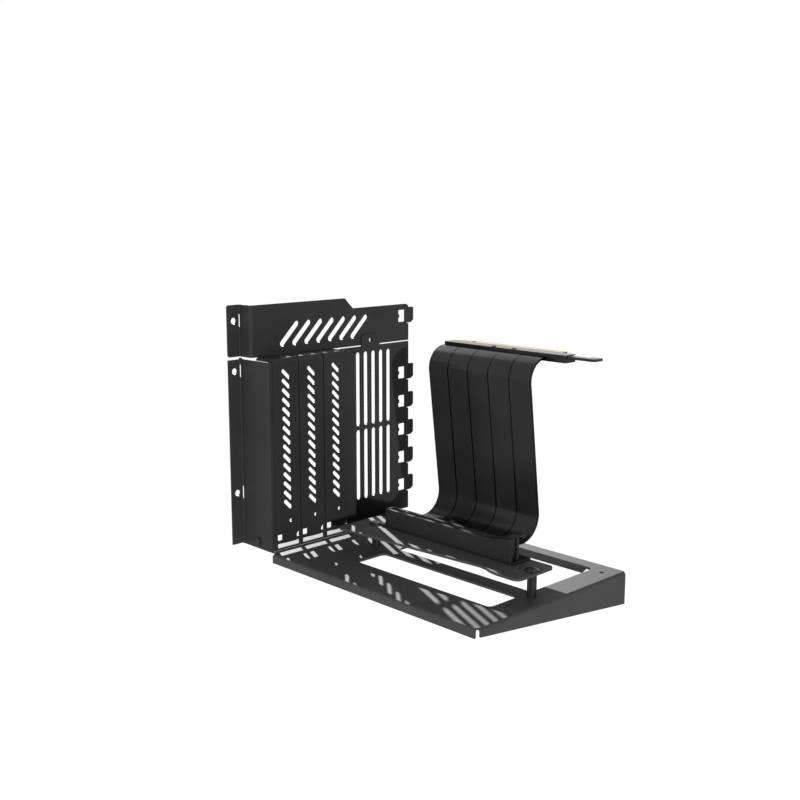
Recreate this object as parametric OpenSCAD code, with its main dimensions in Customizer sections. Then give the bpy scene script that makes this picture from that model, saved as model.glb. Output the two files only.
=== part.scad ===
/* [Rear panel] */
// thickness of the folded steel sheets
sheet_t = 1.2; // [1:0.1:1.4]
// inner radius of every fold
fold_r = 0.8; // [0.6:0.1:1]
// how far the main face stands in front of the flange's rear face
main_x = 12.6; // [12:0.2:14]
// how far the front of the slot box stands in front of the flange's rear face
box_x = 28.7; // [27:0.1:31]
// outer face of the side wall, from the line of the flange holes
side_y = 4.4; // [4.2:0.1:5]
// outer face of the slot box on its far side
box_y = 77.6; // [76.6:0.1:78.4]
// far edge of both panels
panel_y = 141.2; // [139:0.2:142]
// bottom edge of the slot panel
slot_low = -73.6; // [-74:0.1:-73.2]
// top edge of the slot panel
slot_high = 47.7; // [47.2:0.1:47.7]
// bottom edge of the upper panel
upper_low = 48.5; // [48.5:0.1:49]
// top edge of the upper panel over its raised part
upper_high = 81.2; // [79:0.2:84]
// top edge of the upper panel over its lower part
upper_step = 74.1; // [73:0.1:75]

/* [Flange holes] */
// distance between the two holes of the slot panel's flange
flange_pitch = 78.6; // [78:0.1:79.2]
// diameter of the flange holes
flange_hole_d = 4.2; // [3.6:0.1:4.6]
// height of the upper panel's flange hole
upper_hole_z = 71.1; // [70:0.1:72]

/* [Slot covers] */
// distance between neighbouring slots
slot_pitch = 20.32; // [20.2:0.02:20.4]
// width of one cover
cover_w = 19.4; // [18.6:0.1:19.6]
// thickness of one cover
cover_t = 1; // [0.8:0.1:1.1]
// middle of the first cover
cover_y = 18.15; // [17.9:0.05:18.4]
// width of the narrow foot of a cover
tongue_w = 11.2; // [10:0.1:12]
// vents in one cover
vents = 15; // [8:1:15]
// distance between neighbouring vents
vent_pitch = 5.955; // [5.7:0.005:6]
// radius of a vent's round ends
vent_r = 1.3; // [1:0.05:1.4]

/* [Mesh and upper vents] */
// columns of long openings beside the slot box
mesh_columns = 6; // [3:1:6]
// distance between those columns
mesh_pitch = 7.06; // [6.8:0.02:7.1]
// width of a long opening
mesh_w = 3.9; // [3:0.1:4.4]
// slanted openings in the upper panel
slants = 7; // [3:1:7]
// distance between the slanted openings
slant_pitch = 9.94; // [9.4:0.02:10]
// width of a slanted opening
slant_w = 3.9; // [3:0.1:4.4]

/* [Base tray] */
// height of the tray's top face
base_z = -73.9; // [-74.6:0.1:-73.9]
// from the right post to the outer face of the tray's right wall
base_margin = 12.6; // [11:0.1:16]
// outer face of the tray's near lip
base_near = 3.4; // [3:0.1:4]
// outer face of the tray's far lip
base_far = 137.4; // [136:0.2:139]
// height of the near and far lips
lip_h = 5.6; // [4:0.2:7]
// radius of the corners of the tray's openings
open_r = 3.2; // [2:0.2:4]

/* [Riser] */
// gap between the tray and the riser plate
riser_gap = 13.5; // [13:0.1:14]
// thickness of the riser plate
riser_t = 1.5; // [1.2:0.1:1.8]
// outer diameter of the two posts
post_d = 5.5; // [5:0.1:6.4]
// thickness of the printed boards
board_t = 1.6; // [1.5:0.05:1.7]
// length of the card slot housing
slot_len = 90; // [89:0.2:90]
// width of the card slot housing
slot_w = 7.4; // [7:0.1:8]
// height of the card slot housing
slot_h = 10.5; // [10:0.1:11]

/* [Ribbon] */
// width of one strip
strip_w = 16.4; // [15.8:0.1:16.5]
// distance between neighbouring strips
strip_pitch = 16.7; // [16.6:0.02:16.8]
// thickness of a strip
strip_t = 1.3; // [1.1:0.05:1.4]
// outer radius of the upper bend
upper_bend_r = 13.9; // [13:0.1:15]
// inner radius of the lower bend
lower_bend_r = 14.2; // [13:0.1:15]
// lean of the straight part
lean = 7; // [5:0.5:8]

/* [Plug] */
// length of the plug housing
plug_len = 98; // [96:0.5:100]
// height of the plug housing
plug_h = 4.6; // [4.4:0.1:5.4]

/* [Hidden] */
$fn = 48;
eps = 0.01;
sheet_mid = sheet_t / 2;
outer_r = fold_r + sheet_t;
slide = 0.05;
flange_near = -4.6;
cover_x = box_x + cover_t;
side_drop = 0.6;
shelf_top = slot_high + 0.3;
shelf_inset = 3.4;
slot_y = cover_y + 0.9;
slot_open_w = 17.6;
sill_top = -67.5;
sill_low = -69.5;
cover_top = shelf_top + cover_t;
vent_first = 39;
mesh_first = 121.9;
mark_z = -55.3;
tab_w = 16.4;
tab_y = 104.2;
tab_top = 55.8;
tab_hole_z = 51.7;
window_w = 6.7;
window_h = 8.4;
window_y = 134.8;
window_z = [25.8, 5.4, -14.9, -35.2, -55.5];
finger_reach = 6.2;
base_low = base_z - sheet_t;
slot_x = 74.1;
post_right_x = slot_x + slot_len + 28.4;
base_x = post_right_x + base_margin;
joint_x = 16;
joint_z = -68.9;
open_left = 78.4;
open_right = post_right_x - 4.9;
open_near = 32.6;
beam_near = 56;
beam_far = 67.9;
open_far = 126.4;
plate_low = base_z + riser_gap;
plate_top = plate_low + riser_t;
plate_left = 52;
plate_right = post_right_x + 4.5;
plate_near = 39.6;
plate_waist = 48.4;
plate_end_near = 44.6;
plate_far = 77.2;
plate_corner = 4;
post_y = 62.2;
post_left_x = 64.1;
bore_r = 1.5;
shank_r = bore_r - slide;
hole_r = 1.7;
head_r = 4.2;
head_h = 1.4;
slot_mid = 64.7;
board_top = plate_top + board_t;
slot_top = board_top + slot_h;
board_left = 70;
board_right = slot_x + slot_len + 15.9;
board_far = 76;
board_hole_x = board_right - 10.8;
board_hole_y = board_far - 1.9;
board_hole_r = 1.1;
ribbon_x = 77.1;
ribbon_top = 53.9;
ribbon_low = board_top + strip_t;
bend_y = 110.3;
ribbon_end = 71.5;
plug_y = bend_y + 0.1;
plug_x = 77;
plug_low = 51.4;
plug_depth = 10;
edge_len = 85.2;
plug_wall = 1.4;
pivot_x = slot_x + slot_len + 10.3;
pivot_z = board_top + 2.5;
trunnion_r = 0.9;
latch_w = 3;

function unit(v) = v / norm(v);

// a folded sheet seen end on: straight legs and quarter-round folds along its middle line
module fold_profile(pts, t, r) {
    last = len(pts) - 1;
    run = r + t / 2;
    for (i = [0 : last - 1]) {
        u = unit(pts[i + 1] - pts[i]);
        side = [-u[1], u[0]] * t / 2;
        a = pts[i] + u * (i == 0 ? 0 : run);
        b = pts[i + 1] - u * (i == last - 1 ? 0 : run);
        polygon([a + side, b + side, b - side, a - side]);
    }
    for (i = [1 : last - 1]) {
        u = unit(pts[i] - pts[i - 1]);
        v = unit(pts[i + 1] - pts[i]);
        c = pts[i] - u * run + v * run;
        reach = 2 * (r + t);
        intersection() {
            difference() {
                translate(c) circle(r = r + t);
                translate(c) circle(r = r);
            }
            polygon([c, c + u * reach, c + (u - v) * reach, c - v * reach]);
        }
    }
}

// a rounded slot between two points
module slot_shape(a, b, r) {
    u = unit(b - a);
    side = [-u[1], u[0]] * r;
    translate(a) circle(r = r);
    translate(b) circle(r = r);
    polygon([a + side, b + side, b - side, a - side]);
}

// a rectangle with round corners
module round_rect(x0, y0, x1, y1, r) {
    translate([x0 + r, y0]) square([x1 - x0 - 2 * r, y1 - y0]);
    translate([x0, y0 + r]) square([x1 - x0, y1 - y0 - 2 * r]);
    for (x = [x0 + r, x1 - r]) {
        for (y = [y0 + r, y1 - r]) {
            translate([x, y]) circle(r = r);
        }
    }
}

// a flat shape in the panel's own plane, pushed through along the card's length
module through_x(x0, x1) {
    translate([x0, 0, 0])
        rotate([90, 0, 90])
        linear_extrude(height = x1 - x0)
        children();
}

// a joggled finger at the far edge, with the window that frees it
module finger(mid_z) {
    step = sheet_t + 0.2;
    intersection() {
        translate([0, 0, mid_z - 8])
            linear_extrude(height = 16)
            polygon([
                [main_x, window_y + window_w / 2 - 0.2],
                [main_x, window_y + window_w / 2 + 1],
                [main_x - step, window_y + window_w / 2 + 3.2],
                [main_x - step, panel_y + finger_reach],
                [main_x - step - sheet_t, panel_y + finger_reach],
                [main_x - step - sheet_t, window_y + window_w / 2 + 2.8],
                [main_x - sheet_t, window_y + window_w / 2 + 0.6],
                [main_x - sheet_t, window_y + window_w / 2 - 0.2]
            ]);
        through_x(0, 20)
            polygon([
                [window_y, mid_z - 5.6],
                [panel_y + finger_reach - 2.3, mid_z - 5.2],
                [panel_y + finger_reach, mid_z - 3.4],
                [panel_y + finger_reach, mid_z + 4.8],
                [panel_y + finger_reach - 0.9, mid_z + 5.6],
                [window_y, mid_z + 5.6]
            ]);
    }
}

module finger_room(mid_z) {
    through_x(main_x - 4, main_x + 1)
        translate([window_y + window_w / 2, mid_z - 5.6])
        square([20, 11.2]);
}

module window(mid_z) {
    through_x(main_x - 4, main_x + 1)
        difference() {
            round_rect(
                window_y - window_w / 2,
                mid_z - window_h / 2,
                window_y + window_w / 2 + eps,
                mid_z + window_h / 2,
                0.8);
            translate([window_y - window_w / 2 - 1, mid_z - 1.2]) square([1.9, 2.4]);
        }
}

module upper_panel() {
    color([0.16, 0.16, 0.17]) {
        difference() {
            translate([0, 0, upper_low])
                linear_extrude(height = upper_high - upper_low)
                fold_profile([
                    [sheet_mid, flange_near],
                    [sheet_mid, side_y + sheet_mid],
                    [main_x - sheet_mid, side_y + sheet_mid],
                    [main_x - sheet_mid, panel_y]
                ], sheet_t, fold_r);
            through_x(-1, main_x + 1)
                polygon([
                    [82.1, upper_high + 1],
                    [82.1, upper_high],
                    [82.1 + upper_high - upper_step, upper_step],
                    [panel_y - 2, upper_step],
                    [panel_y, upper_step - 1.6],
                    [panel_y + 2, upper_step - 1.6],
                    [panel_y + 2, upper_high + 1]
                ]);
            through_x(-1, sheet_t + 1)
                translate([0.1, upper_hole_z])
                circle(d = flange_hole_d);
            through_x(-1, sheet_t + 0.4)
                translate([side_y - 0.5, upper_hole_z - 4])
                square([1.4, 8.1]);
            through_x(-1, sheet_t + 1)
                polygon([
                    [flange_near - 1, upper_high - 2],
                    [flange_near + 2, upper_high + 1],
                    [flange_near - 1, upper_high + 1]
                ]);
            through_x(-1, sheet_t + 1)
                polygon([
                    [flange_near - 1, upper_low + 2],
                    [flange_near + 2, upper_low - 1],
                    [flange_near - 1, upper_low - 1]
                ]);
            for (i = [0 : slants - 1]) {
                through_x(main_x - 4, main_x + 1)
                    slot_shape(
                        [29.3 + i * slant_pitch, 55.5],
                        [41.1 + i * slant_pitch, 67.3],
                        slant_w / 2);
            }
            through_x(main_x - 4, main_x + 1)
                translate([tab_y, tab_hole_z])
                circle(r = 1.6);
            window(65.9);
            finger_room(65.9);
        }
        finger(65.9);
    }
}

// the tab that laps over the upper panel
module lap_tab() {
    step = sheet_t;
    intersection() {
        translate([0, tab_y - tab_w / 2, 0])
            rotate([90, 0, 0])
            mirror([0, 0, 1])
            linear_extrude(height = tab_w)
            polygon([
                [main_x - sheet_t, slot_high - 3.6],
                [main_x, slot_high - 3.6],
                [main_x, slot_high - 2.2],
                [main_x + step, slot_high - 0.4],
                [main_x + step, tab_top],
                [main_x, tab_top],
                [main_x, slot_high + 0.3],
                [main_x - sheet_t, slot_high - 1.5]
            ]);
        through_x(0, 30)
            round_rect(tab_y - tab_w / 2, slot_high - 6, tab_y + tab_w / 2, tab_top, 2.6);
    }
}

module slot_panel() {
    color([0.16, 0.16, 0.17]) {
        difference() {
            union() {
                difference() {
                    translate([0, 0, slot_low])
                        linear_extrude(height = slot_high - slot_low)
                        fold_profile([
                            [sheet_mid, flange_near],
                            [sheet_mid, side_y + sheet_mid],
                            [box_x - sheet_mid, side_y + sheet_mid],
                            [box_x - sheet_mid, box_y - sheet_mid],
                            [main_x - sheet_mid, box_y - sheet_mid],
                            [main_x - sheet_mid, panel_y]
                        ], sheet_t, fold_r);
                    translate([sheet_t + 0.2, side_y - 1, slot_high - side_drop])
                        cube([box_x, box_y - side_y - 1, 3]);
                    translate([box_x - 4, side_y + shelf_inset, shelf_top - outer_r])
                        cube([8, box_y - side_y - 2 * shelf_inset, 4]);
                }
                translate([0, side_y + shelf_inset, 0])
                    rotate([90, 0, 0])
                    mirror([0, 0, 1])
                    linear_extrude(height = box_y - side_y - 2 * shelf_inset)
                    fold_profile([
                        [box_x - sheet_mid, shelf_top - outer_r - 1],
                        [box_x - sheet_mid, shelf_top - sheet_mid],
                        [main_x + 0.6, shelf_top - sheet_mid]
                    ], sheet_t, fold_r);
                lap_tab();
            }
            for (z = [-flange_pitch / 2, flange_pitch / 2]) {
                through_x(-1, sheet_t + 1)
                    translate([0, z])
                    circle(d = flange_hole_d);
                through_x(-1, sheet_t + 0.4)
                    translate([side_y - 0.5, z - 4])
                    square([1.4, 8]);
            }
            through_x(-1, sheet_t + 0.2)
                translate([flange_near - 1, slot_high - 0.9])
                square([side_y - flange_near + 0.6, 3]);
            through_x(-1, sheet_t + 0.2)
                translate([flange_near - 1, slot_low - 2])
                square([side_y - flange_near + 0.6, 2.7]);
            for (k = [0 : 2]) {
                y = slot_y + k * slot_pitch;
                through_x(box_x - 4, box_x + 1)
                    round_rect(y - slot_open_w / 2, sill_top, y + slot_open_w / 2, 43.6, 0.6);
                through_x(box_x - 4, box_x + 1)
                    translate([y - slot_open_w / 2, slot_low + 1.2])
                    square([slot_open_w, sill_low - slot_low - 1.2]);
            }
            for (i = [0 : mesh_columns - 1]) {
                y = mesh_first - i * mesh_pitch;
                through_x(main_x - 4, main_x + 1)
                    slot_shape([y, -5.3], [y, 42], mesh_w / 2);
                through_x(main_x - 4, main_x + 1)
                    slot_shape([y, -57.2], [y, -11.8], mesh_w / 2);
            }
            for (z = window_z) {
                window(z);
                finger_room(z);
            }
            through_x(main_x - 4, main_x + 4)
                translate([tab_y, tab_hole_z])
                circle(r = 1.6);
            translate([joint_x, side_y - 1, joint_z])
                rotate([-90, 0, 0])
                cylinder(h = sheet_t + 2, r = hole_r);
        }
        for (z = window_z) {
            finger(z);
        }
    }
}

module slot_cover(k) {
    y = cover_y + k * slot_pitch;
    foot_y = y + 0.9;
    color([0.17, 0.17, 0.18])
        difference() {
            union() {
                translate([0, y - cover_w / 2, 0])
                    rotate([90, 0, 0])
                    mirror([0, 0, 1])
                    linear_extrude(height = cover_w)
                    fold_profile([
                        [box_x + cover_t / 2, -63.2],
                        [box_x + cover_t / 2, cover_top - cover_t / 2],
                        [main_x + 0.8, cover_top - cover_t / 2]
                    ], cover_t, outer_r);
                through_x(box_x, cover_x)
                    polygon([
                        [foot_y - tongue_w / 2, -60],
                        [foot_y - tongue_w / 2, -68.8],
                        [foot_y - tongue_w / 2 + 0.8, -69.3],
                        [foot_y + tongue_w / 2 - 0.8, -69.3],
                        [foot_y + tongue_w / 2, -68.8],
                        [foot_y + tongue_w / 2, -65.4],
                        [foot_y + tongue_w / 2 + 1.6, -63.2],
                        [foot_y + tongue_w / 2 + 1.6, -60]
                    ]);
            }
            for (i = [0 : vents - 1]) {
                z = vent_first - i * vent_pitch;
                through_x(box_x - 1, cover_x + 1)
                    slot_shape([y - 1.95, z + 1.95], [y + 1.95, z - 1.95], vent_r);
            }
            through_x(box_x - 1, cover_x + 1)
                translate([y + 2, mark_z])
                circle(r = 1.1);
        }
}

module slot_cover_1() {
    slot_cover(0);
}

module slot_cover_2() {
    slot_cover(1);
}

module slot_cover_3() {
    slot_cover(2);
}

// the bent-down edge along the far side of the far opening
module rail_edge() {
    translate([0, open_far, 0])
        rotate([90, 0, 0])
        mirror([0, 0, 1])
        linear_extrude(height = sheet_t)
        polygon([
            [open_left + 4.4, base_z - sheet_t / 2],
            [open_right - 4.4, base_z - sheet_t / 2],
            [open_right - 8.4, base_z - 4.9],
            [open_left + 8.4, base_z - 4.9]
        ]);
}

// the tray's sheet from its near lip over the top to its far lip
module base_tray() {
    color([0.17, 0.17, 0.18]) {
        rail_edge();
        difference() {
            union() {
                translate([cover_x + 2, 0, 0])
                    rotate([90, 0, 90])
                    linear_extrude(height = base_x - cover_x - 2 - outer_r - 0.4)
                    fold_profile([
                        [base_near + sheet_mid, base_z - lip_h],
                        [base_near + sheet_mid, base_z - sheet_mid],
                        [base_far - sheet_mid, base_z - sheet_mid],
                        [base_far - sheet_mid, base_z - lip_h]
                    ], sheet_t, fold_r);
                translate([0, base_near + outer_r + 0.4, 0])
                    rotate([90, 0, 0])
                    mirror([0, 0, 1])
                    linear_extrude(height = base_far - base_near - 2 * outer_r - 0.8)
                    fold_profile([
                        [cover_x + 4, base_z - sheet_mid],
                        [base_x - sheet_mid, base_z - sheet_mid],
                        [base_x - sheet_mid, base_z - 23]
                    ], sheet_t, fold_r);
                translate([0, box_y + 2, 0])
                    rotate([90, 0, 0])
                    mirror([0, 0, 1])
                    linear_extrude(height = base_far - 4 - box_y)
                    fold_profile([
                        [main_x - sheet_t - sheet_mid - slide, base_z + 9],
                        [main_x - sheet_t - sheet_mid - slide, base_z - sheet_mid],
                        [cover_x + 6, base_z - sheet_mid]
                    ], sheet_t, fold_r);
                translate([main_x - 2.4, side_y + sheet_t + 1.8, base_low])
                    cube([cover_x + 8.4 - main_x, box_y - side_y, sheet_t]);
                translate([main_x + 0.6, 0, 0])
                    rotate([90, 0, 90])
                    linear_extrude(height = 11)
                    fold_profile([
                        [side_y + sheet_t + sheet_mid + slide, base_z + 10],
                        [side_y + sheet_t + sheet_mid + slide, base_z - sheet_mid],
                        [side_y + sheet_t + 8, base_z - sheet_mid]
                    ], sheet_t, fold_r);
            }
            translate([base_x - sheet_t - 1, 0, 0])
                rotate([90, 0, 90])
                linear_extrude(height = sheet_t + 2)
                polygon([
                    [base_near - 1, base_z - 4.4],
                    [base_far + 1, base_z - 20.4],
                    [base_far + 1, base_z - 30],
                    [base_near - 1, base_z - 30]
                ]);
            translate([0, 0, base_z - 4])
                linear_extrude(height = 5)
                round_rect(open_left, open_near, open_right, beam_near, open_r);
            translate([0, 0, base_z - 4])
                linear_extrude(height = 5)
                round_rect(open_left, beam_far, open_right, open_far, open_r);
            for (p = [[191.6, 43, 1.9], [195.6, 123.9, 1.6], [66.6, 42.4, 1.2]]) {
                translate([p[0], p[1], base_z - 4])
                    cylinder(h = 5, r = p[2]);
            }
            for (x = [post_left_x, post_right_x]) {
                translate([x, post_y, base_z - 4])
                    cylinder(h = 5, r = hole_r);
            }
            translate([joint_x, side_y, joint_z])
                rotate([-90, 0, 0])
                cylinder(h = 4, r = hole_r);
            for (y = [88, 128]) {
                through_x(main_x - 6, main_x - 0.4)
                    translate([y, base_z + 6])
                    circle(r = hole_r);
            }
        }
    }
}

module tray_screws() {
    color([0.12, 0.12, 0.12]) {
        translate([joint_x, side_y - 1.2, joint_z])
            rotate([-90, 0, 0])
            cylinder(h = 1.2, r = 2.6);
        translate([joint_x, side_y - 0.4, joint_z])
            rotate([-90, 0, 0])
            cylinder(h = 4.4, r = shank_r);
    }
}

// the plate narrows along the slot and widens again towards its right end
module plate_outline() {
    waist_x = plate_right - 31;
    difference() {
        round_rect(plate_left, plate_near, plate_right, plate_far, plate_corner);
        polygon([
            [plate_left - 1, plate_near - 1],
            [plate_left - 1, plate_near],
            [plate_left + plate_corner, plate_near],
            [waist_x, plate_waist],
            [waist_x + 4.5, plate_waist - 0.7],
            [waist_x + 10, plate_end_near + 0.9],
            [waist_x + 16, plate_end_near],
            [plate_right - 3.6, plate_end_near],
            [plate_right - 1.1, plate_end_near + 1.1],
            [plate_right, plate_end_near + 3.6],
            [plate_right + 1, plate_end_near + 3.6],
            [plate_right + 1, plate_near - 1]
        ]);
    }
}

module riser_plate() {
    color([0.22, 0.22, 0.23])
        translate([0, 0, plate_low])
        linear_extrude(height = riser_t)
        difference() {
            plate_outline();
            for (p = [[182.5, 50.1, 1.4], [184.6, 61.2, 1.4], [171.2, 54.6, 1.3]]) {
                translate([p[0], p[1]]) circle(r = p[2]);
            }
            translate([board_hole_x, board_hole_y]) circle(r = board_hole_r);
            for (x = [post_left_x, post_right_x]) {
                translate([x, post_y]) circle(r = hole_r);
            }
        }
}

module riser_post(x) {
    color([0.3, 0.3, 0.31])
        difference() {
            translate([x, post_y, base_z])
                cylinder(h = riser_gap, d = post_d);
            translate([x, post_y, base_z - 1])
                cylinder(h = riser_gap + 2, r = bore_r);
        }
}

module riser_post_left() {
    riser_post(post_left_x);
}

module riser_post_right() {
    riser_post(post_right_x);
}

// a low pan head with a cross recess, its seat at height zero and its shank below
module pan_screw(shank) {
    difference() {
        union() {
            cylinder(h = head_h * 0.55, r = head_r);
            translate([0, 0, head_h * 0.55])
                cylinder(h = head_h * 0.45, r1 = head_r, r2 = head_r - 1);
            translate([0, 0, -shank])
                cylinder(h = shank + eps, r = shank_r);
        }
        for (a = [0, 90]) {
            rotate([0, 0, a])
                translate([-1.6, -0.35, head_h - 0.8])
                cube([3.2, 0.7, 2]);
        }
    }
}

module plate_screws() {
    color([0.12, 0.12, 0.12])
        for (x = [post_left_x, post_right_x]) {
            translate([x, post_y, plate_top])
                pan_screw(6);
        }
}

module post_screws() {
    color([0.12, 0.12, 0.12])
        for (x = [post_left_x, post_right_x]) {
            translate([x, post_y, base_low])
                mirror([0, 0, 1])
                pan_screw(6);
        }
}

module slot_board() {
    color([0.08, 0.09, 0.08])
        translate([0, 0, plate_top])
        linear_extrude(height = board_t)
        difference() {
            translate([board_left, slot_mid - slot_w / 2 - 0.4])
                square([board_right - board_left, board_far - slot_mid + slot_w / 2 + 0.4]);
            translate([board_hole_x, board_hole_y]) circle(r = board_hole_r);
        }
}

module slot_housing() {
    near = slot_mid - slot_w / 2;
    cheek = (slot_w - latch_w - 0.6) / 2;
    color([0.1, 0.1, 0.1])
        difference() {
            union() {
                translate([slot_x, near, board_top])
                    cube([slot_len, slot_w, slot_h]);
                for (y = [near, near + slot_w - cheek]) {
                    translate([0, y, 0])
                        rotate([90, 0, 0])
                        mirror([0, 0, 1])
                        linear_extrude(height = cheek)
                        polygon([
                            [slot_x + slot_len - 1, board_top],
                            [pivot_x + 3.1, board_top],
                            [pivot_x + 3.1, slot_top + 2.6],
                            [pivot_x + 1.5, slot_top + 2.6],
                            [slot_x + slot_len - 1, slot_top]
                        ]);
                }
                translate([slot_x + slot_len - 2.6, near - 0.4, board_top])
                    cube([2.4, slot_w + 0.8, slot_h + 0.3]);
                for (x = [slot_x + 50.7, slot_x + 70.6]) {
                    translate([x, near - 0.3, board_top])
                        cube([2.6, slot_w + 0.6, 5.4]);
                }
            }
            translate([0, near - 1, 0])
                rotate([90, 0, 0])
                mirror([0, 0, 1])
                linear_extrude(height = 1.4)
                polygon([
                    [slot_x + slot_len + 1.4, board_top + 3],
                    [slot_x + slot_len + 2.8, board_top + 1.6],
                    [pivot_x + 1.6, board_top + 1.6],
                    [pivot_x + 1.6, slot_top],
                    [slot_x + slot_len + 2.8, slot_top - 0.6],
                    [slot_x + slot_len + 1.4, slot_top - 1.6]
                ]);
            translate([slot_x + 1.6, slot_mid - 1.15, board_top + 3])
                cube([12.2, 2.3, slot_h]);
            translate([slot_x + 15.4, slot_mid - 1.15, board_top + 3])
                cube([slot_len - 15.4 - 1.6, 2.3, slot_h]);
            translate([slot_x + 1, slot_mid - 1.7, slot_top - 0.6])
                cube([13.4, 3.4, 1]);
            translate([slot_x + 14.8, slot_mid - 1.7, slot_top - 0.6])
                cube([slot_len - 14.8 - 1, 3.4, 1]);
            translate([pivot_x, near - 1, pivot_z])
                rotate([-90, 0, 0])
                cylinder(h = slot_w + 2, r = trunnion_r + slide);
        }
}

// two rows of spring contacts along the walls of the card channel
module slot_contacts() {
    color([0.78, 0.62, 0.25])
        for (side = [-1, 1]) {
            for (i = [0 : 80]) {
                x = slot_x + 2.4 + i + (i > 10 ? 3 : 0);
                if (x < slot_x + slot_len - 2) {
                    translate([x, slot_mid + side * 1.025 - 0.125, board_top + 3])
                        cube([0.55, 0.25, 6.6]);
                }
            }
        }
}

module slot_latch() {
    x0 = slot_x + slot_len + 0.5;
    color([0.13, 0.13, 0.13])
        union() {
            translate([0, slot_mid - latch_w / 2, 0])
                rotate([90, 0, 0])
                mirror([0, 0, 1])
                linear_extrude(height = latch_w) {
                    polygon([
                        [x0, pivot_z - 1.3],
                        [pivot_x, pivot_z - 1.9],
                        [pivot_x + 1.9, pivot_z],
                        [pivot_x + 2.4, slot_top + 2.8],
                        [pivot_x + 4, slot_top + 3.8],
                        [pivot_x + 10, slot_top + 4.8],
                        [pivot_x + 10, slot_top + 5.8],
                        [pivot_x + 9.2, slot_top + 6.2],
                        [pivot_x + 2, slot_top + 5.2],
                        [pivot_x - 0.9, slot_top + 3.6],
                        [pivot_x - 0.9, slot_top + 2.4],
                        [pivot_x - 2.4, slot_top],
                        [x0, slot_top]
                    ]);
                    translate([pivot_x, pivot_z]) circle(r = 1.9);
                }
            translate([pivot_x, slot_mid - latch_w / 2 - 1.5, pivot_z])
                rotate([-90, 0, 0])
                cylinder(h = latch_w + 3, r = trunnion_r);
        }
}

// points along an arc, from one angle to another
function arc(c, r, from, to, steps = 24) = [
    for (i = [0 : steps]) c + r * along(from + (to - from) * i / steps)
];
function along(turn) = [cos(turn), sin(turn)];

// the side view of one strip: out of the board, up, leaning back, over and into the plug
module strip_side() {
    up_c = [bend_y, ribbon_top - upper_bend_r];
    n = [cos(lean), sin(lean)];
    p_up = up_c - n * upper_bend_r;
    drop = (p_up[1] - lower_bend_r * (1 + sin(lean)) - ribbon_low) / cos(lean);
    low_c = p_up + drop * [sin(lean), -cos(lean)] - n * lower_bend_r;
    polygon(concat(
        [[ribbon_end, ribbon_low - strip_t], [ribbon_end, ribbon_low]],
        arc(low_c, lower_bend_r, -90, lean),
        arc(up_c, upper_bend_r, 180 + lean, 90),
        [[plug_y + 5, ribbon_top], [plug_y + 5, ribbon_top - strip_t]],
        arc(up_c, upper_bend_r - strip_t, 90, 180 + lean),
        arc(low_c, lower_bend_r + strip_t, lean, -90)
    ));
}

module strip(k) {
    color([0.1, 0.1, 0.1])
        through_x(ribbon_x + k * strip_pitch, ribbon_x + k * strip_pitch + strip_w)
        strip_side();
}

module ribbon_strip_1() {
    strip(0);
}

module ribbon_strip_2() {
    strip(1);
}

module ribbon_strip_3() {
    strip(2);
}

module ribbon_strip_4() {
    strip(3);
}

module ribbon_strip_5() {
    strip(4);
}

module plug_board() {
    edge_x = plug_x + 0.6;
    hook_x = plug_x + plug_len;
    color([0.08, 0.09, 0.08])
        translate([0, 0, ribbon_top])
        linear_extrude(height = board_t)
        polygon([
            [plug_x + plug_wall, plug_y + plug_wall],
            [hook_x + 17.6, plug_y + plug_wall],
            [hook_x + 19.4, plug_y + 3.2],
            [hook_x + 19.4, plug_y + 9.4],
            [hook_x + 12.6, plug_y + 9.4],
            [hook_x + 12.6, plug_y + 6.4],
            [hook_x - 1.4, plug_y + 6.4],
            [hook_x - 1.4, plug_y + plug_depth - 1],
            [edge_x + edge_len, plug_y + plug_depth - 1],
            [edge_x + edge_len, plug_y + 17.4],
            [edge_x + edge_len - 0.8, plug_y + 18.2],
            [edge_x + 13.55, plug_y + 18.2],
            [edge_x + 13.55, plug_y + plug_depth],
            [edge_x + 11.65, plug_y + plug_depth],
            [edge_x + 11.65, plug_y + 18.2],
            [edge_x + 0.8, plug_y + 18.2],
            [edge_x, plug_y + 17.4],
            [edge_x, plug_y + plug_depth + slide],
            [plug_x + plug_wall, plug_y + plug_depth + slide]
        ]);
}

module plug_housing() {
    color([0.1, 0.1, 0.1])
        difference() {
            union() {
                translate([0, 0, plug_low])
                    linear_extrude(height = plug_h)
                    round_rect(plug_x, plug_y, plug_x + plug_len, plug_y + plug_depth, 1);
                for (x = [plug_x + 39.5, plug_x + 56]) {
                    translate([x, plug_y + 3.4, plug_low + plug_h - 0.2])
                        cylinder(h = 0.6, r1 = 1.8, r2 = 1.4);
                }
            }
            translate([plug_x + plug_wall, plug_y + plug_wall, ribbon_top])
                cube([plug_len + 4, plug_depth, board_t]);
            translate([ribbon_x, plug_y - 1, ribbon_top - strip_t])
                cube([4 * strip_pitch + strip_w, 6, strip_t]);
        }
}

// the gold pads on both faces of the plug's edge
module plug_contacts() {
    edge_x = plug_x + 0.6;
    color([0.82, 0.66, 0.28])
        for (z = [ribbon_top - 0.08, ribbon_top + board_t]) {
            for (i = [0 : 81]) {
                x = edge_x + 0.9 + i + (i > 10 ? 2 : 0);
                if (x < edge_x + edge_len - 1.2) {
                    translate([x, plug_y + plug_depth + 1.6, z])
                        cube([0.65, 5.2, 0.08]);
                }
            }
        }
}

upper_panel();
slot_panel();
slot_cover_1();
slot_cover_2();
slot_cover_3();
base_tray();
tray_screws();
riser_plate();
riser_post_left();
riser_post_right();
plate_screws();
post_screws();
slot_board();
slot_housing();
slot_contacts();
slot_latch();
ribbon_strip_1();
ribbon_strip_2();
ribbon_strip_3();
ribbon_strip_4();
ribbon_strip_5();
plug_board();
plug_housing();
plug_contacts();
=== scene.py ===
import math

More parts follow.
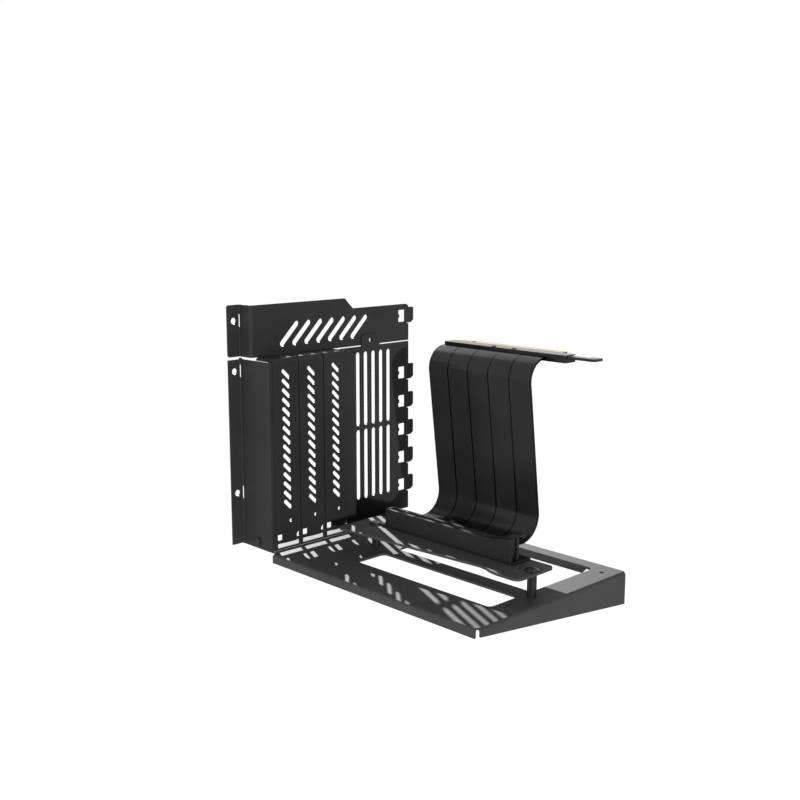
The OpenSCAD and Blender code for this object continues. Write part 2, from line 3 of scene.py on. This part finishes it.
import bmesh
import bpy
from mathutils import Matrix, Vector


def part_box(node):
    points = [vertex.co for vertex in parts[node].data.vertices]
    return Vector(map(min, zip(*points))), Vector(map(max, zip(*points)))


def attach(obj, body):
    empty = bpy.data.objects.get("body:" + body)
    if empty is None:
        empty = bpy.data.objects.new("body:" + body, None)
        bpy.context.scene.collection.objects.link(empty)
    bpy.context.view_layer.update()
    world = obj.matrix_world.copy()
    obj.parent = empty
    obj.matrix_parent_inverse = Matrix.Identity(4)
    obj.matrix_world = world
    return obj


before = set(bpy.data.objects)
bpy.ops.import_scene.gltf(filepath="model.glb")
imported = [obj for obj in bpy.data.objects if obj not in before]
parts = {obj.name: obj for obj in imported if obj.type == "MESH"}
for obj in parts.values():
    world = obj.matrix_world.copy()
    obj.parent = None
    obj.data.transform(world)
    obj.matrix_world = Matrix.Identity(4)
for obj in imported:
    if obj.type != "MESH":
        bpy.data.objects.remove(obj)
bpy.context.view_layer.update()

# The view: a long lens at the photograph's place, in front of the mount and to its
# right, level with the plug and looking a little down on the tray.
view_ahead = Vector((-0.7091, 0.6832, -0.1750))
view_data = bpy.data.cameras.new("photo_view")
view_data.lens = 49.58
view_data.sensor_width = 36.0
view_data.clip_start = 0.01
view_data.clip_end = 20.0
photo_view = bpy.data.objects.new("photo_view", view_data)
photo_view.location = (0.5658, -0.4000, 0.1428)
photo_view.rotation_euler = view_ahead.to_track_quat("-Z", "Y").to_euler()
bpy.context.scene.collection.objects.link(photo_view)
bpy.context.scene.camera = photo_view
bpy.context.scene.view_settings.view_transform = "Standard"

# The room: a white surround that shows as white to the camera and in reflections,
# and gives the mount only a weak, even light of its own from all round.
room_white_strength = 1.0
room_fill_strength = 0.1
room = bpy.data.worlds.new("white_room")
bpy.context.scene.world = room
room.use_nodes = True
room_nodes = room.node_tree.nodes
room_links = room.node_tree.links
room_nodes.clear()
room_out = room_nodes.new("ShaderNodeOutputWorld")
room_ray = room_nodes.new("ShaderNodeLightPath")
room_seen = room_nodes.new("ShaderNodeMath")
room_seen.operation = "MAXIMUM"
room_links.new(room_ray.outputs["Is Camera Ray"], room_seen.inputs[0])
room_links.new(room_ray.outputs["Is Transmission Ray"], room_seen.inputs[1])
room_shown = room_nodes.new("ShaderNodeMath")
room_shown.operation = "MAXIMUM"
room_links.new(room_seen.outputs[0], room_shown.inputs[0])
room_links.new(room_ray.outputs["Is Glossy Ray"], room_shown.inputs[1])
room_light = room_nodes.new("ShaderNodeBackground")
room_light.inputs["Color"].default_value = (1.0, 1.0, 1.0, 1.0)
room_light.inputs["Strength"].default_value = room_fill_strength
room_white = room_nodes.new("ShaderNodeBackground")
room_white.inputs["Color"].default_value = (1.0, 1.0, 1.0, 1.0)
room_white.inputs["Strength"].default_value = room_white_strength
room_mix = room_nodes.new("ShaderNodeMixShader")
room_links.new(room_shown.outputs[0], room_mix.inputs["Fac"])
room_links.new(room_light.outputs[0], room_mix.inputs[1])
room_links.new(room_white.outputs[0], room_mix.inputs[2])
room_links.new(room_mix.outputs[0], room_out.inputs["Surface"])


# The lamps: low light from behind that falls through the openings onto the tray, one
# from the front that throws the ribbon's shade on the panel, and a soft one at its side.
def throw_light(name, strength, spread, ahead):
    lamp_data = bpy.data.lights.new(name, "SUN")
    lamp_data.energy = strength
    lamp_data.angle = math.radians(spread)
    lamp = bpy.data.objects.new(name, lamp_data)
    lamp.rotation_euler = Vector(ahead).to_track_quat("-Z", "Y").to_euler()
    bpy.context.scene.collection.objects.link(lamp)


throw_light("light_from_behind", 12.0, 0.6, (1.0, -0.4595, -0.42))
throw_light("light_from_front", 3.3, 1.5, (-1.0, 0.44, -0.16))
throw_light("light_from_side", 1.7, 25.0, (0.15, 1.0, -0.25))

# The floor: a white studio sheet well below the mount, which the case would hold up
# by its flange. It shows white and keeps a trace of the mount's shade.
floor_half_side = 6.0
floor_height = -0.30
floor_white_share = 0.96
floor_seen_in_gloss = 0.65
floor_more_to_camera = 0.36
floor_mesh = bmesh.new()
bmesh.ops.create_grid(floor_mesh, x_segments=1, y_segments=1, size=floor_half_side)
bmesh.ops.translate(floor_mesh, vec=(0.0, 0.0, floor_height), verts=floor_mesh.verts)
floor_data = bpy.data.meshes.new("studio_floor")
floor_mesh.to_mesh(floor_data)
floor_mesh.free()
studio_floor = bpy.data.objects.new("studio_floor", floor_data)
bpy.context.scene.collection.objects.link(studio_floor)
floor_paint = bpy.data.materials.new("studio_white")
floor_paint.use_nodes = True
floor_nodes = floor_paint.node_tree.nodes
floor_links = floor_paint.node_tree.links
floor_nodes.clear()
floor_out = floor_nodes.new("ShaderNodeOutputMaterial")
floor_ray = floor_nodes.new("ShaderNodeLightPath")
floor_seen = floor_nodes.new("ShaderNodeMath")
floor_seen.operation = "MAXIMUM"
floor_links.new(floor_ray.outputs["Is Camera Ray"], floor_seen.inputs[0])
floor_links.new(floor_ray.outputs["Is Glossy Ray"], floor_seen.inputs[1])
floor_share = floor_nodes.new("ShaderNodeMath")
floor_share.operation = "MULTIPLY"
floor_share.inputs[1].default_value = floor_white_share
floor_links.new(floor_seen.outputs[0], floor_share.inputs[0])
floor_matt = floor_nodes.new("ShaderNodeBsdfDiffuse")
floor_matt.inputs["Color"].default_value = (0.9, 0.9, 0.9, 1.0)
floor_white = floor_nodes.new("ShaderNodeEmission")
floor_white.inputs["Color"].default_value = (1.0, 1.0, 1.0, 1.0)
floor_glow = floor_nodes.new("ShaderNodeMath")
floor_glow.operation = "MULTIPLY_ADD"
floor_glow.inputs[1].default_value = floor_more_to_camera
floor_glow.inputs[2].default_value = floor_seen_in_gloss
floor_links.new(floor_ray.outputs["Is Camera Ray"], floor_glow.inputs[0])
floor_links.new(floor_glow.outputs[0], floor_white.inputs["Strength"])
floor_mix = floor_nodes.new("ShaderNodeMixShader")
floor_links.new(floor_share.outputs[0], floor_mix.inputs["Fac"])
floor_links.new(floor_matt.outputs[0], floor_mix.inputs[1])
floor_links.new(floor_white.outputs[0], floor_mix.inputs[2])
floor_links.new(floor_mix.outputs[0], floor_out.inputs["Surface"])
floor_data.materials.append(floor_paint)


# The rear panel: two folded sheets of mild steel, punched, bent and then powder
# coated satin black, which leaves a fine even texture and softens every edge.
def powder_coat(name, shade, rough, level, grain=2600.0):
    cloud_scale = 26.0
    cloud_share = 0.14
    rough_share = 0.05
    edge_radius = 0.00035
    skin_depth = 0.00003
    coat = bpy.data.materials.new(name)
    coat.use_nodes = True
    nodes = coat.node_tree.nodes
    links = coat.node_tree.links
    face = nodes["Principled BSDF"]
    face.inputs["Specular IOR Level"].default_value = level
    place = nodes.new("ShaderNodeTexCoord")
    cloud = nodes.new("ShaderNodeTexNoise")
    cloud.inputs["Scale"].default_value = cloud_scale
    cloud.inputs["Detail"].default_value = 3.0
    links.new(place.outputs["Object"], cloud.inputs["Vector"])
    tone = nodes.new("ShaderNodeMapRange")
    tone.inputs["From Min"].default_value = 0.3
    tone.inputs["From Max"].default_value = 0.7
    tone.inputs["To Min"].default_value = 1.0 - cloud_share
    tone.inputs["To Max"].default_value = 1.0 + cloud_share
    links.new(cloud.outputs["Fac"], tone.inputs["Value"])
    body = nodes.new("ShaderNodeVectorMath")
    body.operation = "SCALE"
    body.inputs[0].default_value = shade
    links.new(tone.outputs["Result"], body.inputs["Scale"])
    links.new(body.outputs["Vector"], face.inputs["Base Color"])
    peel = nodes.new("ShaderNodeTexNoise")
    peel.inputs["Scale"].default_value = grain
    peel.inputs["Detail"].default_value = 2.0
    links.new(place.outputs["Object"], peel.inputs["Vector"])
    gloss = nodes.new("ShaderNodeMapRange")
    gloss.inputs["To Min"].default_value = rough - rough_share
    gloss.inputs["To Max"].default_value = rough + rough_share
    links.new(peel.outputs["Fac"], gloss.inputs["Value"])
    links.new(gloss.outputs["Result"], face.inputs["Roughness"])
    edge = nodes.new("ShaderNodeBevel")
    edge.samples = 4
    edge.inputs["Radius"].default_value = edge_radius
    skin = nodes.new("ShaderNodeBump")
    skin.inputs["Strength"].default_value = 0.35
    skin.inputs["Distance"].default_value = skin_depth
    links.new(edge.outputs["Normal"], skin.inputs["Normal"])
    links.new(peel.outputs["Fac"], skin.inputs["Height"])
    links.new(skin.outputs["Normal"], face.inputs["Normal"])
    return coat


def finish_part(name, material):
    for slot in parts[name].material_slots:
        slot.material = material


panel_coat = powder_coat("panel_coat", (0.02, 0.02, 0.021), rough=0.34, level=0.07)
finish_part("upper_panel", panel_coat)
finish_part("slot_panel", panel_coat)

# The slot covers: three blanking plates of thinner sheet with pressed vents, hooked
# over the panel's shelf, coated like the panel.
cover_coat = powder_coat("cover_coat", (0.017, 0.017, 0.018), rough=0.38, level=0.1)
for cover in ("slot_cover_1", "slot_cover_2", "slot_cover_3"):
    finish_part(cover, cover_coat)

# The tray and the riser plate: flat steel with folded lips, coated in a rougher black
# than the panel, so that the light from behind shows on them in even pale patches.
tray_coat = powder_coat("tray_coat", (0.026, 0.026, 0.027), rough=0.68, level=0.3)
finish_part("base_tray", tray_coat)
plate_coat = powder_coat("plate_coat", (0.028, 0.028, 0.029), rough=0.66, level=0.32)
finish_part("riser_plate", plate_coat)

# The fasteners: small pan head screws and two turned posts of chemically blackened
# steel, smoother and darker than the coated sheets that they hold.
screw_black = powder_coat(
    "screw_black", (0.007, 0.007, 0.0075), rough=0.28, level=0.35, grain=6000.0
)
for fastener in (
    "tray_screws",
    "plate_screws",
    "post_screws",
    "riser_post_left",
    "riser_post_right",
):
    finish_part(fastener, screw_black)

# The press nuts: short threaded steel collars pressed into the tray's sheet from
# below, behind the two small holes at its near corners, and blackened with it.
nut_bore = 0.0017
nut_radius = 0.0033
nut_height = 0.0026
nut_chamfer = 0.0004
tray_underside = -0.0751
nut_black = powder_coat("nut_black", (0.02, 0.02, 0.021), rough=0.4, level=0.4, grain=5000.0)
for nut_name, nut_x, nut_y in (
    ("press_nut_right", 0.1916, 0.0430),
    ("press_nut_left", 0.0666, 0.0424),
):
    nut_mesh = bmesh.new()
    nut_ring = []
    for reach, drop in (
        (nut_bore, 0.0),
        (nut_radius, 0.0),
        (nut_radius, nut_height - nut_chamfer),
        (nut_radius - nut_chamfer, nut_height),
        (nut_bore, nut_height),
    ):
        nut_ring.append(nut_mesh.verts.new((nut_x + reach, nut_y, tray_underside - drop)))
    for corner, following in zip(nut_ring, nut_ring[1:] + nut_ring[:1]):
        nut_mesh.edges.new((corner, following))
    bmesh.ops.spin(
        nut_mesh,
        geom=nut_mesh.verts[:] + nut_mesh.edges[:],
        cent=(nut_x, nut_y, tray_underside),
        axis=(0.0, 0.0, 1.0),
        angle=math.tau,
        steps=48,
        use_merge=True,
    )
    bmesh.ops.remove_doubles(nut_mesh, verts=nut_mesh.verts, dist=0.00001)
    bmesh.ops.recalc_face_normals(nut_mesh, faces=nut_mesh.faces)
    nut_data = bpy.data.meshes.new(nut_name)
    nut_mesh.to_mesh(nut_data)
    nut_mesh.free()
    nut_data.materials.append(nut_black)
    nut = bpy.data.objects.new(nut_name, nut_data)
    bpy.context.scene.collection.objects.link(nut)
    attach(nut, "mount")

# The printed boards: glass fibre under a smooth black solder mask, one under the card
# slot and one that ends in the edge plug.
board_mask = powder_coat(
    "board_mask", (0.008, 0.009, 0.008), rough=0.18, level=0.3, grain=900.0
)
finish_part("slot_board", board_mask)
finish_part("plug_board", board_mask)

# The card slot: a housing moulded in matt black nylon, and its latch, which swings on
# two moulded pins.
moulded_black = powder_coat(
    "moulded_black", (0.01, 0.01, 0.0105), rough=0.42, level=0.2, grain=3800.0
)
finish_part("slot_housing", moulded_black)
finish_part("slot_latch", moulded_black)

# The plug's cover: moulded in a glossier nylon, held on its board by two rivets, so its
# flat top mirrors the room.
plug_black = powder_coat(
    "plug_black", (0.007, 0.007, 0.0074), rough=0.17, level=0.26, grain=3800.0
)
finish_part("plug_housing", plug_black)

# The contacts: strips of copper alloy with a thin gold plate, a little duller and
# redder where the plate is thin.
contact_gold = bpy.data.materials.new("contact_gold")
contact_gold.use_nodes = True
gold_nodes = contact_gold.node_tree.nodes
gold_links = contact_gold.node_tree.links
gold_face = gold_nodes["Principled BSDF"]
gold_face.inputs["Metallic"].default_value = 1.0
gold_place = gold_nodes.new("ShaderNodeTexCoord")
gold_wear = gold_nodes.new("ShaderNodeTexNoise")
gold_wear.inputs["Scale"].default_value = 420.0
gold_wear.inputs["Detail"].default_value = 3.0
gold_links.new(gold_place.outputs["Object"], gold_wear.inputs["Vector"])
gold_tone = gold_nodes.new("ShaderNodeValToRGB")
gold_tone.color_ramp.elements[0].position = 0.3
gold_tone.color_ramp.elements[0].color = (0.62, 0.36, 0.12, 1.0)
gold_tone.color_ramp.elements[1].position = 0.65
gold_tone.color_ramp.elements[1].color = (0.83, 0.6, 0.24, 1.0)
gold_links.new(gold_wear.outputs["Fac"], gold_tone.inputs["Fac"])
gold_links.new(gold_tone.outputs["Color"], gold_face.inputs["Base Color"])
gold_gloss = gold_nodes.new("ShaderNodeMapRange")
gold_gloss.inputs["To Min"].default_value = 0.42
gold_gloss.inputs["To Max"].default_value = 0.26
gold_links.new(gold_wear.outputs["Fac"], gold_gloss.inputs["Value"])
gold_links.new(gold_gloss.outputs["Result"], gold_face.inputs["Roughness"])
finish_part("slot_contacts", contact_gold)
finish_part("plug_contacts", contact_gold)

# The ribbon: five flat shielded cables side by side, each wrapped in smooth black film. The
# film is folded in at the strips' edges, and the cores show as faint ribs.
# Its colour is painted darker towards each seam, down to black at the seam itself, as
# painted shade in the crease between strips.
cores_in_a_strip = 10
seam_half_width = 0.0002
seam_fade_end = 0.0009
film_rough = 0.2
seam_rough = 0.14
core_rib_gain = 400.0
ribbon_film = bpy.data.materials.new("ribbon_film")
ribbon_film.use_nodes = True
film_nodes = ribbon_film.node_tree.nodes
film_links = ribbon_film.node_tree.links
film_face = film_nodes["Principled BSDF"]
film_face.inputs["Specular IOR Level"].default_value = 0.18
film_place = film_nodes.new("ShaderNodeTexCoord")
film_axes = film_nodes.new("ShaderNodeSeparateXYZ")
film_links.new(film_place.outputs["Object"], film_axes.inputs["Vector"])
first_low, first_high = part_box("ribbon_strip_1")
second_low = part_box("ribbon_strip_2")[0]
strip_pitch = second_low[0] - first_low[0]
first_seam = (first_high[0] + second_low[0]) / 2
from_seam = film_nodes.new("ShaderNodeMath")
from_seam.operation = "SUBTRACT"
from_seam.inputs[1].default_value = first_seam - 20 * strip_pitch
film_links.new(film_axes.outputs["X"], from_seam.inputs[0])
to_seam = film_nodes.new("ShaderNodeMath")
to_seam.operation = "PINGPONG"
to_seam.inputs[1].default_value = strip_pitch / 2
film_links.new(from_seam.outputs["Value"], to_seam.inputs[0])
# Painted shade: this mask takes the film's colour down to black at each seam between strips.
# It also sets the seams' gloss and the bump of the fold.
seam_fold_and_painted_shade = film_nodes.new("ShaderNodeMapRange")
seam_fold_and_painted_shade.inputs["From Min"].default_value = seam_half_width
seam_fold_and_painted_shade.inputs["From Max"].default_value = seam_fade_end
seam_fold_and_painted_shade.inputs["To Min"].default_value = 0.0
seam_fold_and_painted_shade.inputs["To Max"].default_value = 1.0
film_links.new(to_seam.outputs["Value"], seam_fold_and_painted_shade.inputs["Value"])
film_cloud = film_nodes.new("ShaderNodeTexNoise")
film_cloud.inputs["Scale"].default_value = 40.0
film_cloud.inputs["Detail"].default_value = 4.0
film_links.new(film_place.outputs["Object"], film_cloud.inputs["Vector"])
film_tone = film_nodes.new("ShaderNodeMapRange")
film_tone.inputs["From Min"].default_value = 0.3
film_tone.inputs["From Max"].default_value = 0.7
film_tone.inputs["To Min"].default_value = 0.85
film_tone.inputs["To Max"].default_value = 1.15
film_links.new(film_cloud.outputs["Fac"], film_tone.inputs["Value"])
# The film's random tone times the painted seam shade.
film_tone_and_painted_seam_shade = film_nodes.new("ShaderNodeMath")
film_tone_and_painted_seam_shade.operation = "MULTIPLY"
film_links.new(seam_fold_and_painted_shade.outputs["Result"], film_tone_and_painted_seam_shade.inputs[0])
film_links.new(film_tone.outputs["Result"], film_tone_and_painted_seam_shade.inputs[1])
film_body = film_nodes.new("ShaderNodeVectorMath")
film_body.operation = "SCALE"
film_body.inputs[0].default_value = (0.012, 0.012, 0.0124)
film_links.new(film_tone_and_painted_seam_shade.outputs["Value"], film_body.inputs["Scale"])
film_links.new(film_body.outputs["Vector"], film_face.inputs["Base Color"])
film_gloss = film_nodes.new("ShaderNodeMapRange")
film_gloss.inputs["To Min"].default_value = seam_rough
film_gloss.inputs["To Max"].default_value = film_rough
film_links.new(seam_fold_and_painted_shade.outputs["Result"], film_gloss.inputs["Value"])
film_links.new(film_gloss.outputs["Result"], film_face.inputs["Roughness"])
film_cores = film_nodes.new("ShaderNodeMath")
film_cores.operation = "PINGPONG"
film_cores.inputs[1].default_value = strip_pitch / cores_in_a_strip / 2
film_links.new(from_seam.outputs["Value"], film_cores.inputs[0])
film_height = film_nodes.new("ShaderNodeMath")
film_height.operation = "MULTIPLY_ADD"
film_height.inputs[1].default_value = core_rib_gain
film_links.new(film_cores.outputs["Value"], film_height.inputs[0])
film_links.new(seam_fold_and_painted_shade.outputs["Result"], film_height.inputs[2])
film_skin = film_nodes.new("ShaderNodeBump")
film_skin.inputs["Strength"].default_value = 0.25
film_skin.inputs["Distance"].default_value = 0.00006
film_links.new(film_height.outputs["Value"], film_skin.inputs["Height"])
film_links.new(film_skin.outputs["Normal"], film_face.inputs["Normal"])
for number in (1, 2, 3, 4, 5):
    finish_part("ribbon_strip_%d" % number, ribbon_film)

# The ribbon's seams: a thin web of the same film joins each strip to the next one, a
# little below their faces, from the plug's cover down to the slot.
# The web lies inside the painted seam shade, so its film colour is black.
web_depth = 0.00015
side_face_reach = 0.00002
for number in (1, 2, 3, 4):
    strip_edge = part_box("ribbon_strip_%d" % number)[1][0]
    next_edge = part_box("ribbon_strip_%d" % (number + 1))[0][0]
    web_mesh = bmesh.new()
    web_mesh.from_mesh(parts["ribbon_strip_%d" % number].data)
    bmesh.ops.remove_doubles(web_mesh, verts=web_mesh.verts, dist=0.000002)
    web_mesh.normal_update()
    away = []
    for face in web_mesh.faces:
        to_edge = abs(face.calc_center_median().x - strip_edge)
        if face.normal.x < 0.9 or to_edge > side_face_reach:
            away.append(face)
    bmesh.ops.delete(web_mesh, geom=away, context="FACES")
    pulled = bmesh.ops.extrude_face_region(web_mesh, geom=web_mesh.faces[:])
    bmesh.ops.translate(
        web_mesh,
        vec=(next_edge - strip_edge, 0.0, 0.0),
        verts=[piece for piece in pulled["geom"] if isinstance(piece, bmesh.types.BMVert)],
    )
    bmesh.ops.recalc_face_normals(web_mesh, faces=web_mesh.faces)
    web_mesh.normal_update()
    sunk = []
    for point in web_mesh.verts:
        outward = Vector((0.0, point.normal.y, point.normal.z))
        if outward.length > 0.1:
            outward.normalize()
        sunk.append(point.co - web_depth * outward)
    for point, place in zip(web_mesh.verts, sunk):
        point.co = place
    web_name = "ribbon_seam_%d" % number
    web_data = bpy.data.meshes.new(web_name)
    web_mesh.to_mesh(web_data)
    web_mesh.free()
    web_data.materials.append(ribbon_film)
    web = bpy.data.objects.new(web_name, web_data)
    bpy.context.scene.collection.objects.link(web)
    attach(web, "mount")
